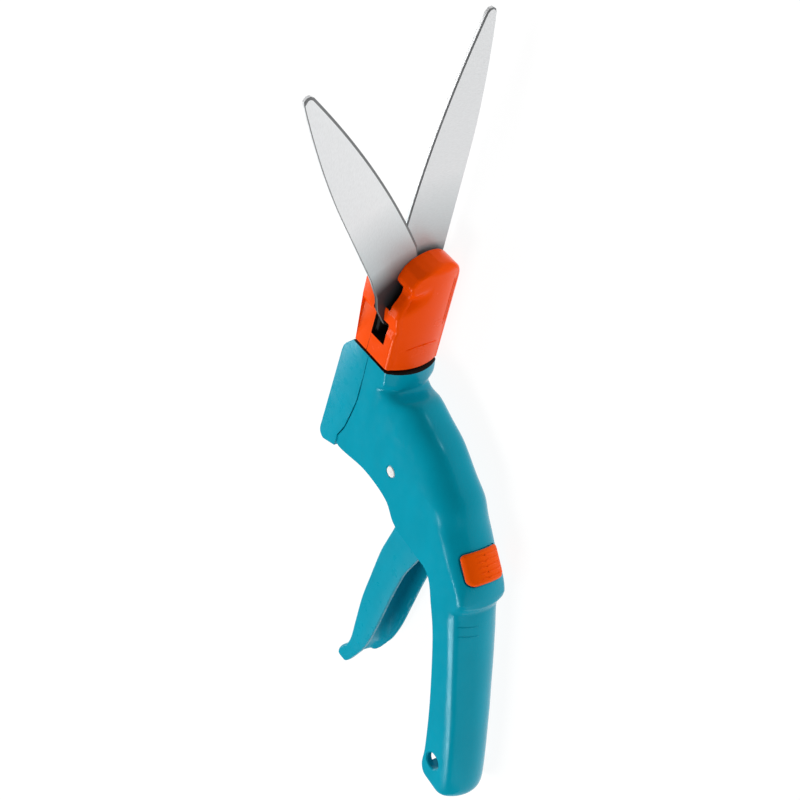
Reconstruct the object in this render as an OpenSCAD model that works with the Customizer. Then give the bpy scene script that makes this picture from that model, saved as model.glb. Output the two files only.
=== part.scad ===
// Rotating-head grass shears, lying on their right side.
// +X runs from the grip to the blade tips, +Y to the squeeze lever, +Z up through the left side.

/* [Handle] */
// Half width of the handle at the neck
neck_half_w = 12.8; // [11:0.1:13]
// Half width of the handle at the end of the grip
grip_half_w = 10.8; // [10.4:0.1:12]
// Wall thickness of the moulded handle
wall = 2.6; // [2.2:0.1:2.8]
// Radius of the hanging hole
hang_r = 3.8; // [2:0.1:4.5]

/* [Lever] */
// Outer width of the squeeze lever
lever_w = 18; // [14:0.5:18]
// Radius of the lever pivot pin
pivot_r = 2.5; // [1.5:0.1:3]
// Distance from the lever pivot to the link pin
horn_r = 10; // [9.5:0.1:10.5]

/* [Head] */
// Half width of the cutting head
head_half_w = 13; // [12:0.1:13]
// Height of the head's side walls above the swivel axis
head_rise = 10; // [9.8:0.1:10.6]
// Depth of the head below the swivel axis
head_drop = 12.6; // [12:0.1:13]
// Length of the cutting head
head_len = 50; // [48:1:52]
// Radius of the push rod
rod_r = 2.5; // [2:0.1:2.6]

/* [Blades] */
// Distance from the blade pivot to a blade tip
blade_reach = 142.5; // [130:0.5:150]
// Angle between the open blades
open_angle = 32; // [25:1:32]
// Thickness of each blade
blade_t = 1.6; // [1.2:0.1:1.6]

/* [Hidden] */
$fn = 48;
// Centre of the bounding box in the tool's own axes
centre_x = -5.2;
centre_y = -45.35;

// Radial clearance of every turning or sliding fit
running = 0.06;

// Handle fittings
lever_pivot = [-42, -27];
hang_hole = [-151.5, -94.5];
collar_front = -2;
collar_back = -9;
collar_half_w = 10.4;
bush_r = 7.5;
bush_back = -14;
plunger_x = -6;
plunger_hole_r = 1.7;
ball_seat = 6.5;
cover_front = -2.8;
cover_screw_y = 7;
cover_screw_z = 8;
spring_seat = [[-47.4, -45.3], [-29.8, -53.4]];

// Lever and link
squeeze_angle = 20;
horn = lever_pivot + horn_r * [sin(squeeze_angle / 2), cos(squeeze_angle / 2)];
link_r = 1.5;
lug_half_w = 3;
catch_angle = 240.3;
catch_reach = 42;

// Push rod and its knob, as the lever hangs open
rod_front = -7.5;
rod_neck_r = 1.5;
knob_back = -3.5;
knob_front = -1.5;
knob_r = 2.8;

// Swivel tube
tube_r = 5.5;
tube_bore_r = 4;
tube_back = -19;
tube_front = 2.5;
flange_r = 8.5;
flange_back = 0.8;
clip_back = -16.5;
clip_front = -15.3;
clip_seat_r = 4.6;

// Head shells
shell_back = -1;
crown = 3.4;
skirt_end = 3.1;

// Blades and their drive
blade_pivot = [12.5, -3];
bolt_r = 2.5;
washer_r = 3.3;
drive_arm = 6.5;
closed_angle = 1;
stroke_mid = (open_angle - closed_angle) / 2;
drive_pin_r = 1.5;
drive_pin = blade_pivot + drive_arm * [sin(stroke_mid), -cos(stroke_mid)];
moving_top = -1.7;
fixed_bottom = blade_t;
arm_top = -3.6;
arm_bottom = -1.95;

// Lock
lock_origin = [-54, -71.7];
lock_dir = [8, 7.4];
lock_travel = 5;
lock_stem_x = -8.4;
lock_pad_back = -10.5;
lock_pad_len = 13.5;

// ---- helpers ----

function unit(v) = v / norm(v);
function arc(c, r, from, to, n) = [for (i = [0:n]) let (a = from + (to - from) * i / n)
    [c[0] + r * cos(a), c[1] + r * sin(a)]];
function spline(a, b, c, d, t) = b + (c - a) * t / 2 + (2 * a - 5 * b + 4 * c - d) * t * t / 2
    + (3 * b - a - 3 * c + d) * t * t * t / 2;
function rotate_2d(v, a) = [v[0] * cos(a) - v[1] * sin(a), v[0] * sin(a) + v[1] * cos(a)];
function smooth_rows(keys, sub) = concat([for (i = [0:len(keys) - 2]) for (j = [0:sub - 1])
    spline(keys[max(i - 1, 0)], keys[i], keys[i + 1], keys[min(i + 2, len(keys) - 1)], j / sub)],
    [keys[len(keys) - 1]]);

// Moves a piece from the tool's own axes, head axis along X, to the resting frame
module placed() {
    translate([-centre_x, -centre_y, head_half_w]) children();
}

// Extrudes a side-view outline symmetrically across the tool
module across(width) {
    translate([0, 0, -width / 2]) linear_extrude(width) children();
}

// Extrudes a blade-plane outline, given as [x, z], from y0 over a thickness t
module blade_plane(y0, t) {
    translate([0, y0 + t, 0]) rotate([90, 0, 0]) linear_extrude(t) children();
}

// Cylinder along X from x0 to x1
module rod_x(r, x0, x1) {
    translate([x0, 0, 0]) rotate([0, 90, 0]) cylinder(r = r, h = x1 - x0);
}

// Cylinder along Y from y0 to y1 at [x, z]
module rod_y(r, p, y0, y1) {
    translate([p[0], y0, p[1]]) rotate([-90, 0, 0]) cylinder(r = r, h = y1 - y0);
}

// Round wire wound into an open coil along Z
module coil(mean_r, wire_r, length, turns) {
    sides = 6;
    steps = turns * 14;
    ring = function (i) let (a = 360 * i * turns / steps, z = length * i / steps)
        [for (k = [0:sides - 1]) let (b = 360 * k / sides, r = mean_r + wire_r * cos(b))
            [r * cos(a), r * sin(a), z + wire_r * sin(b)]];
    points = [for (i = [0:steps]) each ring(i)];
    skin = [for (i = [0:steps - 1]) for (k = [0:sides - 1]) let (a = i * sides, m = (k + 1) % sides)
        each [[a + k, a + m, a + sides + k], [a + m, a + sides + m, a + sides + k]]];
    ends = [[for (k = [sides - 1:-1:0]) k], [for (k = [0:sides - 1]) steps * sides + k]];
    polyhedron(points, concat(skin, ends), convexity = 10);
}

// ---- handle ----

// Each row: front edge of the side wall, crease where the side meets the back, top of the back
handle_keys = [
    [-2, 1.4, -2, -10.3, -2, -14.8],
    [-9, 1.4, -9, -10.8, -8.5, -15.4],
    [-14, 1.4, -14, -6.6, -11, -17.3],
    [-28, 1.8, -27.5, -6, -9.5, -26],
    [-44, 5, -33, -18, -13, -35],
    [-56, 8, -35, -30, -17.5, -45],
    [-54, -12, -37, -43, -25.5, -56],
    [-56.5, -28, -40, -54.5, -31.5, -64],
    [-63.5, -37, -46, -64.3, -40.9, -69.8],
    [-66, -52, -54, -71.7, -49.4, -76.7],
    [-68.5, -62, -62, -79.1, -57.4, -84.1],
    [-80, -68.5, -74, -83, -71.5, -89.5],
    [-95, -75, -95, -87.5, -93.2, -94.2],
    [-125, -83.5, -125, -95.5, -123.3, -102.3],
    [-148, -88.3, -148, -101.5, -146.4, -108.2],
    [-159, -89.6, -160, -104, -158.8, -110.2],
    [-164.4, -94.6, -165.5, -102.5, -165, -107.6]];
handle_rows = smooth_rows(handle_keys, 2);
arc_steps = 8;

function half_w(x) = neck_half_w + (neck_half_w - grip_half_w) * min(x, 0) / 165;
// Height of the rounded back above the crease at z: an arc when shallow, a full oval when deep
function rise(z, w, h) = h < w
    ? let (r = (w * w + h * h) / (2 * h)) sqrt(max(r * r - z * z, 0)) - r + h
    : let (p = 2 + 0.8 * min(h / w - 1, 1)) h * pow(max(1 - pow(abs(z / w), p), 0), 1 / p);
function wall_path(row, inset) = let (f = [row[0], row[1]], c = [row[2], row[3]],
        t = [row[4], row[5]], up = unit(t - c), w = half_w(c[0]) - inset, h = norm(t - c) - inset,
        wf = half_w(f[0]) - inset)
    concat([[f[0], f[1], wf]],
        [for (i = [0:arc_steps]) let (z = w * cos(180 * i / arc_steps), q = c + up * rise(z, w, h))
            [q[0], q[1], z]],
        [[f[0], f[1], -wf]]);

// Open channel whose section follows the rows; the wall lies between two insets
module channel_skin(rows, outer, inner) {
    m = arc_steps + 3;
    n = len(rows);
    points = [for (r = rows) each concat(wall_path(r, outer), wall_path(r, inner))];
    quad = function (a, b, c, d) [[a, b, c], [a, c, d]];
    skin = [for (s = [0:n - 2]) for (j = [0:m - 2]) let (a = s * 2 * m + j, b = a + 2 * m)
        each concat(quad(a, a + 1, b + 1, b), quad(a + m, b + m, b + m + 1, a + m + 1))];
    edges = [for (s = [0:n - 2]) let (a = s * 2 * m, b = a + 2 * m, l = m - 1)
        each concat(quad(a, b, b + m, a + m), quad(a + l, a + l + m, b + l + m, b + l))];
    e = (n - 1) * 2 * m;
    ends = [for (j = [0:m - 2]) each concat(quad(j, j + m, j + m + 1, j + 1),
        quad(e + j, e + j + 1, e + j + m + 1, e + j + m))];
    polyhedron(points, concat(skin, edges, ends), convexity = 10);
}

// Solid with the outer shape of the channel between two rows
module channel_block(rows, inset) {
    m = arc_steps + 3;
    n = len(rows);
    points = [for (r = rows) each wall_path(r, inset)];
    skin = [for (s = [0:n - 2]) for (j = [0:m - 1]) let (k = (j + 1) % m, a = s * m, b = a + m)
        each [[a + j, a + k, b + k], [a + j, b + k, b + j]]];
    ends = [[for (j = [m - 1:-1:0]) j], [for (j = [0:m - 1]) (n - 1) * m + j]];
    polyhedron(points, concat(skin, ends), convexity = 10);
}

function slice(rows, a, b) = [for (i = [a:b]) rows[i]];

// Frame of the lock: x runs forward along the back, -y outward from the crease
module lock_frame() {
    translate(lock_origin) rotate(atan2(lock_dir[1], lock_dir[0])) children();
}

// Extrudes an outline given as [y, z] along X
module along_x(x0, x1) {
    rotate([90, 0, 90]) translate([0, 0, x0]) linear_extrude(x1 - x0) children();
}

// Block that carries the bearing bush; the cover wraps round its lower part
module neck_collar() {
    corner = 4;
    along_x(collar_back, collar_front) {
        translate([-8, -neck_half_w + 0.1]) square([9.4, 2 * neck_half_w - 0.2]);
        hull() {
            for (s = [-1, 1]) translate([10 - corner, s * (collar_half_w - corner)]) circle(corner, $fn = 32);
            translate([1, -collar_half_w]) square([1, 2 * collar_half_w]);
        }
    }
}

module handle_body() placed() color([0, 0.61, 0.70]) {
    n = len(handle_rows);
    difference() {
        union() {
            channel_skin(handle_rows, 0, wall);
            channel_block(slice(handle_rows, 0, 4), 0.05);
            channel_block(slice(handle_rows, n - 3, n - 1), 0.05);
            neck_collar();
        }
        rod_x(bush_r, -20, 1);
        rod_y(plunger_hole_r, [plunger_x, 0], -10.2, 0);
        translate([lever_pivot[0], lever_pivot[1], -15]) cylinder(r = pivot_r, h = 30);
        translate([hang_hole[0], hang_hole[1], -15]) cylinder(r = hang_r, h = 30);
        for (s = [-1, 1]) translate([0, cover_screw_y, s * cover_screw_z]) rod_x(1.3, -10, -4);
        lock_frame() translate([lock_stem_x - 0.2, -12, -2.3]) cube([3.4 + lock_travel, 14, 4.6]);
    }
}

// Clipped-on cover that closes the underside of the neck
module front_cover() placed() color([0, 0.62, 0.71]) {
    outline = concat([[cover_front, 1.7], [cover_front, 12.4], [-7.2, 16], [-9.4, 17.2], [-12.2, 17.6]],
        arc([-56, 15.5], 4, 90, 170, 6), [[-57.5, 8.6], [-51.2, 8.4], [-44, 5.4], [-28, 2.2], [-14, 1.7]]);
    hollow = [[-14.5, 0], [-14.5, 14.8], [-54, 16.6], [-57.5, 0]];
    difference() {
        across(2 * neck_half_w - 0.2) polygon(outline);
        across(2 * neck_half_w - 6.5) polygon(hollow);
        translate([collar_back - 0.2, 0, -collar_half_w - 0.2]) cube([10, 10.3, 2 * collar_half_w + 0.4]);
        rod_x(8, -15, collar_back);
        for (s = [-1, 1]) translate([0, cover_screw_y, s * cover_screw_z]) {
            rod_x(1.6, -15, -9);
            rod_x(2.8, -15, -12.5);
        }
    }
}

// Self-tapping screws that hold the cover to the collar
module cover_screws() placed() color("dimgray") {
    for (s = [-1, 1]) translate([0, cover_screw_y, s * cover_screw_z]) {
        rod_x(1.25, -12.6, -4.2);
        rod_x(2.5, -14.2, -12.5);
    }
}

// Riveted pin the lever turns on, with its domed ends proud of the sides
module lever_pivot_pin() placed() color("white") {
    reach = half_w(lever_pivot[0]) + 0.1;
    translate([lever_pivot[0], lever_pivot[1], -reach]) cylinder(r = pivot_r - 0.02, h = 2 * reach);
}

// Bearing bush of the swivelling head
module neck_bush() placed() color("ivory") difference() {
    rod_x(bush_r - 0.02, bush_back, collar_front);
    rod_x(tube_r + running, -20, 1);
    rod_y(plunger_hole_r, [plunger_x, 0], -9.4, 0);
}

// Spring-loaded ball that rides in the tube's groove and gives the head its hold
module detent_ball() placed() color("silver") {
    translate([plunger_x, -ball_seat, 0]) sphere(plunger_hole_r - 0.1);
}

module detent_spring() placed() color("darkgray") {
    translate([plunger_x, -ball_seat - 1.55, 0]) rotate([90, 0, 0]) coil(1, 0.25, 1.5, 3);
}

// Compression spring that opens the lever, seated inside the handle's back
module lever_spring() placed() color("darkgray") {
    a = spring_seat[0];
    b = spring_seat[1];
    translate([a[0], a[1], 0]) rotate([0, 0, atan2(b[1] - a[1], b[0] - a[0])]) rotate([0, 90, 0])
        coil(3.4, 0.5, norm(b - a), 6);
}

// ---- lever ----

module squeeze_lever() placed() color([0, 0.60, 0.69]) {
    nose = arc([-154, -25.6], 4.3, 70, 250, 8);
    outline = concat([[-36.5, -13.5], [-47.5, -13.5], [-50, -24], [-54.5, -31.5], [-58.5, -34.4],
        [-67.7, -33.9], [-86.7, -29.7], [-116.3, -26.5], [-142.3, -26.6], [-148, -25.4]], nose,
        [[-150, -32.6], [-147, -34.2], [-139, -36.7], [-117.4, -40.6], [-102.9, -43], [-84, -46.6],
        [-70, -52.4], [-58, -55.5], [-50.6, -49.5], [-46.9, -40.8], [-36.5, -33], [-34.5, -24]]);
    hollow = [[-64, -37.4], [-69.5, -36.8], [-86.7, -32.9], [-116.3, -29.7], [-140, -29.9],
        [-147, -29.8], [-147, -50], [-64, -70]];
    difference() {
        union() {
            across(lever_w) polygon(outline);
            translate([lever_pivot[0], lever_pivot[1], -2.5]) rotate(catch_angle)
                translate([24, -2, 0]) cube([catch_reach - 24, 4, 5]);
        }
        across(lever_w - 3.2) polygon(hollow);
        across(2 * lug_half_w + 0.6) polygon([[-52, -22.2], [-34, -22.2], [-34, -12], [-52, -12]]);
        translate([lever_pivot[0], lever_pivot[1], -15]) cylinder(r = pivot_r + running, h = 30);
        translate([horn[0], horn[1], -15]) cylinder(r = link_r, h = 30);
    }
}

// Pin that joins the lever's horn to the push rod
module link_pin() placed() color("silver") {
    translate([horn[0], horn[1], -lever_w / 2]) cylinder(r = link_r - 0.02, h = lever_w);
}

// ---- push rod ----

// Rod on the swivel axis: a slotted lug at the lever, a round knob in the head
module push_rod() placed() color("gray") difference() {
    union() {
        rod_x(rod_r, -40, rod_front);
        rod_x(rod_neck_r, -20, knob_front - 0.5);
        rod_x(knob_r, knob_back, knob_front);
        translate([-46, -20.6, -lug_half_w]) cube([9.6, 23.1, 2 * lug_half_w]);
    }
    hull() for (y = [-0.3, 0.5]) translate([horn[0], horn[1] + y, -5])
        cylinder(r = link_r + running, h = 10);
}

// ---- head ----

module swivel_tube() placed() color("silver") difference() {
    union() {
        rod_x(tube_r, tube_back, tube_front);
        rod_x(flange_r, flange_back, tube_front);
    }
    rod_x(rod_r + running, tube_back - 1, 0);
    rod_x(tube_bore_r, -10.2, tube_front + 1);
    difference() {
        rod_x(tube_r + 1, clip_back - 0.1, clip_front + 0.1);
        rod_x(clip_seat_r, clip_back - 1, clip_front + 1);
    }
    translate([plunger_x, 0, 0]) rotate([0, 90, 0]) rotate_extrude()
        translate([ball_seat, 0]) circle(plunger_hole_r + 0.05);
}

// Ring that keeps the tube in its bush
module retaining_clip() placed() color("dimgray") difference() {
    rod_x(7.4, clip_back, clip_front);
    rod_x(clip_seat_r, clip_back - 1, clip_front + 1);
    translate([clip_back - 1, 0, -2.6]) cube([4, 10, 5.2]);
}

// Plan outline of the upper shell, with a scooped notch at the left
function upper_plan() = concat([[shell_back, -head_half_w]],
    arc([head_len - 10, 9 - head_half_w], 9, -90, -10, 6),
    [[head_len - 1.2, -1], [head_len - 2.2, 3.5], [head_len - 5.8, 8.9], [head_len - 9, 10.7],
        [head_len - 11.4, 11], [head_len - 13.5, 9.4], [32, 10.2], [27.5, 12.6], [24, 13.4], [20.5, 13],
        [17.5, 12.4], [14, head_half_w], [shell_back, head_half_w]]);
// Plan outline of the lower shell, with its flared ear at the left
function lower_plan() = concat([[shell_back, -head_half_w], [34, -head_half_w]],
    arc([head_len - 16, -1], 12, -80, 0, 5), arc([head_len - 18, 3], 12, 10, 85, 5),
    [[22, 14.8], [18.6, head_half_w - 0.4], [shell_back, head_half_w]]);

// Cross-section of the upper shell, [y, z], with its crowned top
function top_section() = let (h = head_rise, w = head_half_w)
    concat([[skirt_end, w + 1], [2 - h, w + 1], [0.7 - h, w]],
        [for (i = [-8:8]) let (z = -12.2 * i / 8) [-h - rise(z, w - 0.3, crown), z]],
        [[0.7 - h, -w], [2 - h, -w - 1], [skirt_end, -w - 1]]);

module flange_pocket() {
    rod_x(tube_r + 0.1, shell_back - 1, flange_back);
    rod_x(flange_r + 0.05, flange_back - 0.02, tube_front + 0.1);
}

module upper_shell() placed() color([0.92, 0.31, 0.07]) difference() {
    roof = moving_top - 0.2;
    top = -head_rise - crown;
    union() {
        intersection() {
            blade_plane(top, roof - top) polygon(upper_plan());
            along_x(shell_back, head_len) polygon(top_section());
            across(2 * head_half_w + 2) polygon([[shell_back, 0], [shell_back, top], [head_len - 7, top],
                [head_len - 4, top + 0.5], [head_len - 2, top + 1.9], [head_len - 1, top + 4.4],
                [head_len - 1, 0]]);
        }
        blade_plane(roof - 0.1, skirt_end - roof + 0.1) {
            translate([shell_back, -head_half_w]) square([21, 0.9]);
            translate([shell_back, -head_half_w]) square([3.6, 2 * head_half_w]);
            translate([shell_back, -head_half_w]) square([8.8, 5.2]);
            translate([shell_back, head_half_w - 5.2]) square([9.3, 5.2]);
        }
    }
    blade_plane(-7.6, 7.6 + roof + 0.3) difference() {
        translate([2.6, -12.1]) square([22, 23.1]);
        translate([0, 7.8]) square([8.3, 6]);
    }
    blade_plane(-5.4, 8.6) translate([8.3, 9.6]) square([10.2, 6]);
    blade_plane(-5.4, 5) translate([25, 7]) square([12, 8]);
    translate([33, -16.5, 14.5]) sphere(8.5, $fn = 40);
    flange_pocket();
    rod_x(tube_bore_r + 0.4, tube_front, 8.4);
    for (s = [-1, 1]) rod_y(0.9, [5.2, s * 10.2], s > 0 ? -5.5 : -1.2, 4);
}

module lower_shell() placed() color([0.94, 0.36, 0.12]) difference() {
    union() {
        blade_plane(skirt_end + 0.2, head_drop - skirt_end - 1.6) polygon(lower_plan());
        hull() {
            blade_plane(head_drop - 1.5, 0.1) offset(r = -0.1) polygon(lower_plan());
            blade_plane(head_drop - 0.1, 0.1) offset(r = -1.8) polygon(lower_plan());
        }
        blade_plane(fixed_bottom + 0.05, 2) intersection() {
            translate([8.6, -11.5]) square([40, 22.5]);
            offset(r = -1.2) polygon(lower_plan());
        }
    }
    flange_pocket();
    rod_x(tube_bore_r + 0.4, tube_front, 8.4);
    rod_y(bolt_r + 0.05, blade_pivot, 0, 14);
    translate([blade_pivot[0], 6.4, blade_pivot[1]]) rotate([-90, 0, 0]) cylinder(r = 4.7, h = 8, $fn = 6);
    for (s = [-1, 1]) {
        rod_y(1.3, [5.2, s * 10.2], 3, 14);
        rod_y(2.3, [5.2, s * 10.2], 8.2, 14);
    }
}

module shell_screws() placed() color("dimgray") for (s = [-1, 1]) {
    rod_y(0.88, [5.2, s * 10.2], s > 0 ? -5 : -1, 8.3);
    rod_y(2.1, [5.2, s * 10.2], 8.25, 9.7);
}

// Leaf outline along +x from the pivot; +y is the cutting side
function leaf() = concat(
    [for (i = [0:10]) let (s = i / 10) [38 + (blade_reach - 39.9) * s, 14.6 - 12.7 * pow(s, 1.9)]],
    [[blade_reach - 0.4, 0.9], [blade_reach, -0.7], [blade_reach - 0.8, -2.1]],
    [for (i = [0:8]) let (s = i / 8) [blade_reach - 2.2 - (blade_reach - 40.2) * s,
        -2.6 - 5.4 * pow(sin(90 * min(s * 1.6, 1)), 0.9)]]);

module fixed_blade() placed() color([0.84, 0.85, 0.86]) difference() {
    blade_plane(0, blade_t) translate(blade_pivot) polygon(concat(leaf(),
        [[30, -8], [8, -7.5], [-2, -6.6], [-3.8, -3], [-3.8, 6], [6, 10.5], [20, 11], [30, 13]]));
    rod_y(bolt_r + 0.02, blade_pivot, -1, 3);
}

// Root of the moving blade: hub round the pivot and a lobe for the drive pin
module moving_blade() placed() color([0.91, 0.91, 0.92]) difference() {
    lobe = rotate_2d(drive_arm * [sin(stroke_mid), cos(stroke_mid)], open_angle);
    root = concat([[27, -9], [20, -11], [11, -11], [5, -8.5]], arc([0, 0], 6.2, 270, 160, 10),
        arc(lobe, 2.4, 200, 60, 8), [[8, 6.4], [18, 8.6], [30, 12.4]]);
    blade_plane(moving_top, blade_t) translate(blade_pivot) rotate(open_angle) mirror([0, 1])
        polygon(concat(leaf(), root));
    rod_y(bolt_r + running, blade_pivot, -3, 1);
    rod_y(drive_pin_r, drive_pin, -3, 1);
}

module drive_pin() placed() color("silver") {
    rod_y(drive_pin_r - 0.02, drive_pin, arm_top - 0.4, moving_top + blade_t);
}

module pivot_bolt() placed() color("gray") {
    rod_y(bolt_r, blade_pivot, -4, 8.6);
    rod_y(washer_r, blade_pivot, -4.9, -2.45);
}

module spring_washer() placed() color("darkgray") difference() {
    rod_y(washer_r, blade_pivot, -2.4, moving_top - 0.02);
    rod_y(bolt_r + 0.02, blade_pivot, -3, 0);
}

module pivot_nut() placed() color("gray") difference() {
    translate([blade_pivot[0], 6.5, blade_pivot[1]]) rotate([-90, 0, 0]) cylinder(r = 4.5, h = 2.8, $fn = 6);
    rod_y(bolt_r + 0.02, blade_pivot, 5, 11);
}

// Slide that carries the rod's pull past the pivot to the moving blade
module slide_driver() placed() color("dimgray") difference() {
    union() {
        difference() {
            rod_x(tube_bore_r - running, -6, 6.6);
            translate([5, arm_bottom, -6]) cube([4, 10, 12]);
        }
        translate([6.3, arm_top, -11.9]) cube([2.6, arm_bottom - arm_top, 14.9]);
        translate([6.3, arm_top, -11.9]) cube([11.2, arm_bottom - arm_top, 5.1]);
    }
    rod_x(rod_neck_r + 0.1, -7, -2);
    rod_x(knob_r + 0.1, knob_back - 0.1, knob_front + 0.1);
    translate([-7, -rod_neck_r - 0.1, 0]) cube([4, 2 * rod_neck_r + 0.2, 5]);
    translate([knob_back - 0.1, -knob_r - 0.1, 0]) cube([2.2, 2 * knob_r + 0.2, 5]);
    hull() for (z = [-0.3, 0.12]) rod_y(drive_pin_r + running, drive_pin + [0, z], -5, 0);
}

// ---- lock ----

// Slice of a tube that follows the handle's back, from x over a length
module lock_pad(x, length, inner, outer, half_z) {
    w = half_w(lock_origin[0]);
    h = 6.8;
    r = (w * w + h * h) / (2 * h);
    translate([x, 0, 0]) rotate([90, 0, 90]) linear_extrude(length) difference() {
        intersection() {
            translate([r - h, 0]) circle(r + outer);
            translate([-12, -half_z]) square([12, 2 * half_z]);
        }
        translate([r - h, 0]) circle(r + inner);
    }
}

// Thumb slide on the back of the handle
module lock_slider() placed() color([0.86, 0.27, 0.04]) lock_frame() {
    lock_pad(lock_pad_back, lock_pad_len, 0.4, 1.6, 9);
    for (i = [0:3]) lock_pad(lock_pad_back + 2 + 3 * i, 1.2, 1.5, 2.1, 7);
    translate([lock_stem_x, -7.9, -2]) cube([3, 2.1, 4]);
}

// Hook that catches the squeezed lever when the slide is pushed forward
module lock_bolt() placed() color("dimgray") lock_frame() translate([lock_stem_x, 0, 0])
    across(4) polygon([[0, -5.8], [3, -5.8], [3, 0.9], [7.6, 0.9], [10.2, 2.8], [9.4, 4.2], [2, 4.4],
        [0, 2]]);

handle_body();
front_cover();
cover_screws();
lever_pivot_pin();
neck_bush();
detent_ball();
detent_spring();
lever_spring();
squeeze_lever();
link_pin();
push_rod();
swivel_tube();
retaining_clip();
upper_shell();
lower_shell();
shell_screws();
fixed_blade();
pivot_bolt();
pivot_nut();
spring_washer();
slide_driver();
moving_blade();
drive_pin();
lock_slider();
lock_bolt();
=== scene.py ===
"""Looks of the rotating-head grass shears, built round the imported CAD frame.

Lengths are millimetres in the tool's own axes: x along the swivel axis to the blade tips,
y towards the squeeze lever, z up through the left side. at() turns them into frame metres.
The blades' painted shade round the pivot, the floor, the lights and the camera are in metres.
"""

import math

import bmesh
import bpy
from mathutils import Matrix, Vector


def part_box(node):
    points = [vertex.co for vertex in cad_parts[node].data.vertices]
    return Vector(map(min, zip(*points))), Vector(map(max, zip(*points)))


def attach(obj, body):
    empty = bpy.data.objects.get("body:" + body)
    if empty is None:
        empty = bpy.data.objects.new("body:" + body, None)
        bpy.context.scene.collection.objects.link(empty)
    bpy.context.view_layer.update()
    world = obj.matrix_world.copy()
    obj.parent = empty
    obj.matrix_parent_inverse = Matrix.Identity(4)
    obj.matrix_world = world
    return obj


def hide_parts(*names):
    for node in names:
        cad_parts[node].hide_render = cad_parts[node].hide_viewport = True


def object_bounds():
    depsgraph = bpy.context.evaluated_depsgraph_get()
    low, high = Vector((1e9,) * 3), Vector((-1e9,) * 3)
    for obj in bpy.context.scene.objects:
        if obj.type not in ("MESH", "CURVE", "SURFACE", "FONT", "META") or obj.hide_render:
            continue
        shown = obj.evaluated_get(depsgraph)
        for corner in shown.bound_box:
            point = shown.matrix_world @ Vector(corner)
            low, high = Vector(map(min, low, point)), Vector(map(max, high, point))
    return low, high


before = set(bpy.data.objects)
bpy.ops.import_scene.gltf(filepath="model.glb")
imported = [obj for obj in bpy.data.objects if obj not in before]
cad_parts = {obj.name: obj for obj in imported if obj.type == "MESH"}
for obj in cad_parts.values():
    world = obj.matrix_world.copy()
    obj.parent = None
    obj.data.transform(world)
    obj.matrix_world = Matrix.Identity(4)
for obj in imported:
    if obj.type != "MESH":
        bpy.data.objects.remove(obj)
cad_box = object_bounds()

MM = 0.001
WELD = 2e-6  # metres; CAD vertices closer than this are one
SHARP = math.radians(32)  # edges sharper than this stay crisp when shaded
TUBE_FRONT = 2.5  # x of the swivel tube's front face
PIVOT_X, PIVOT_Z = 12.5, -3.0  # the bolt that the moving blade turns on
LEVER_PIN, LEVER_PIN_R = (-42, -27), 2.5
HANG_HOLE, HANG_HOLE_R = (-151.5, -94.5), 3.8

tube_low, tube_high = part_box("swivel_tube")
ORIGIN = (tube_low + tube_high) / 2
ORIGIN.x = tube_high.x - TUBE_FRONT * MM


def at(x, y, z):
    return ORIGIN + Vector((x, y, z)) * MM


def from_front(y, z, x):
    """Place for an outline drawn across the tool."""
    return at(x, y, z)


def from_above(x, z, y):
    """Place for an outline drawn in the plane of the blades."""
    return at(x, y, z)


# ---- materials ----


def new_material(name):
    material = bpy.data.materials.new(name)
    material.use_nodes = True
    tree = material.node_tree
    return material, tree, tree.nodes["Principled BSDF"]


def add_noise(tree, scale, detail, stretch=(1, 1, 1)):
    """Noise in object space; stretch above 1 shortens the grain along that axis."""
    place = tree.nodes.new("ShaderNodeTexCoord")
    mapping = tree.nodes.new("ShaderNodeMapping")
    mapping.inputs["Scale"].default_value = stretch
    # turned so that no flat face lies along the noise's own grid
    mapping.inputs["Rotation"].default_value = (0.35, 0.5, 0.2)
    noise = tree.nodes.new("ShaderNodeTexNoise")
    noise.inputs["Scale"].default_value = scale
    noise.inputs["Detail"].default_value = detail
    tree.links.new(place.outputs["Object"], mapping.inputs["Vector"])
    tree.links.new(mapping.outputs["Vector"], noise.inputs["Vector"])
    return noise


def add_ramp(tree, source, stops):
    ramp = tree.nodes.new("ShaderNodeValToRGB")
    elements = ramp.color_ramp.elements
    while len(elements) < len(stops):
        elements.new(0.5)
    for element, (position, colour) in zip(elements, stops):
        element.position = position
        element.color = (*colour, 1)
    tree.links.new(source, ramp.inputs["Fac"])
    return ramp


def add_range(tree, source, low, high, from_low=0.3, from_high=0.7):
    node = tree.nodes.new("ShaderNodeMapRange")
    limits = {"From Min": from_low, "From Max": from_high, "To Min": low, "To Max": high}
    for name, value in limits.items():
        node.inputs[name].default_value = value
    tree.links.new(source, node.inputs["Value"])
    return node


def add_bump(tree, shader, height, strength, distance):
    bump = tree.nodes.new("ShaderNodeBump")
    bump.inputs["Strength"].default_value = strength
    bump.inputs["Distance"].default_value = distance
    tree.links.new(height, bump.inputs["Height"])
    tree.links.new(bump.outputs["Normal"], shader.inputs["Normal"])


def shade(colour, factor):
    return tuple(min(c * factor, 1) for c in colour)


def mottled(tree, noise, colour, dark, light):
    """The colour varied by a noise between two shades of itself."""
    stops = [(0.3, shade(colour, dark)), (0.7, shade(colour, light))]
    return add_ramp(tree, noise.outputs["Fac"], stops).outputs["Color"]


def uneven_roughness(tree, shader, noise, low, high):
    rough = add_range(tree, noise.outputs["Fac"], low, high)
    tree.links.new(rough.outputs["Result"], shader.inputs["Roughness"])


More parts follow.
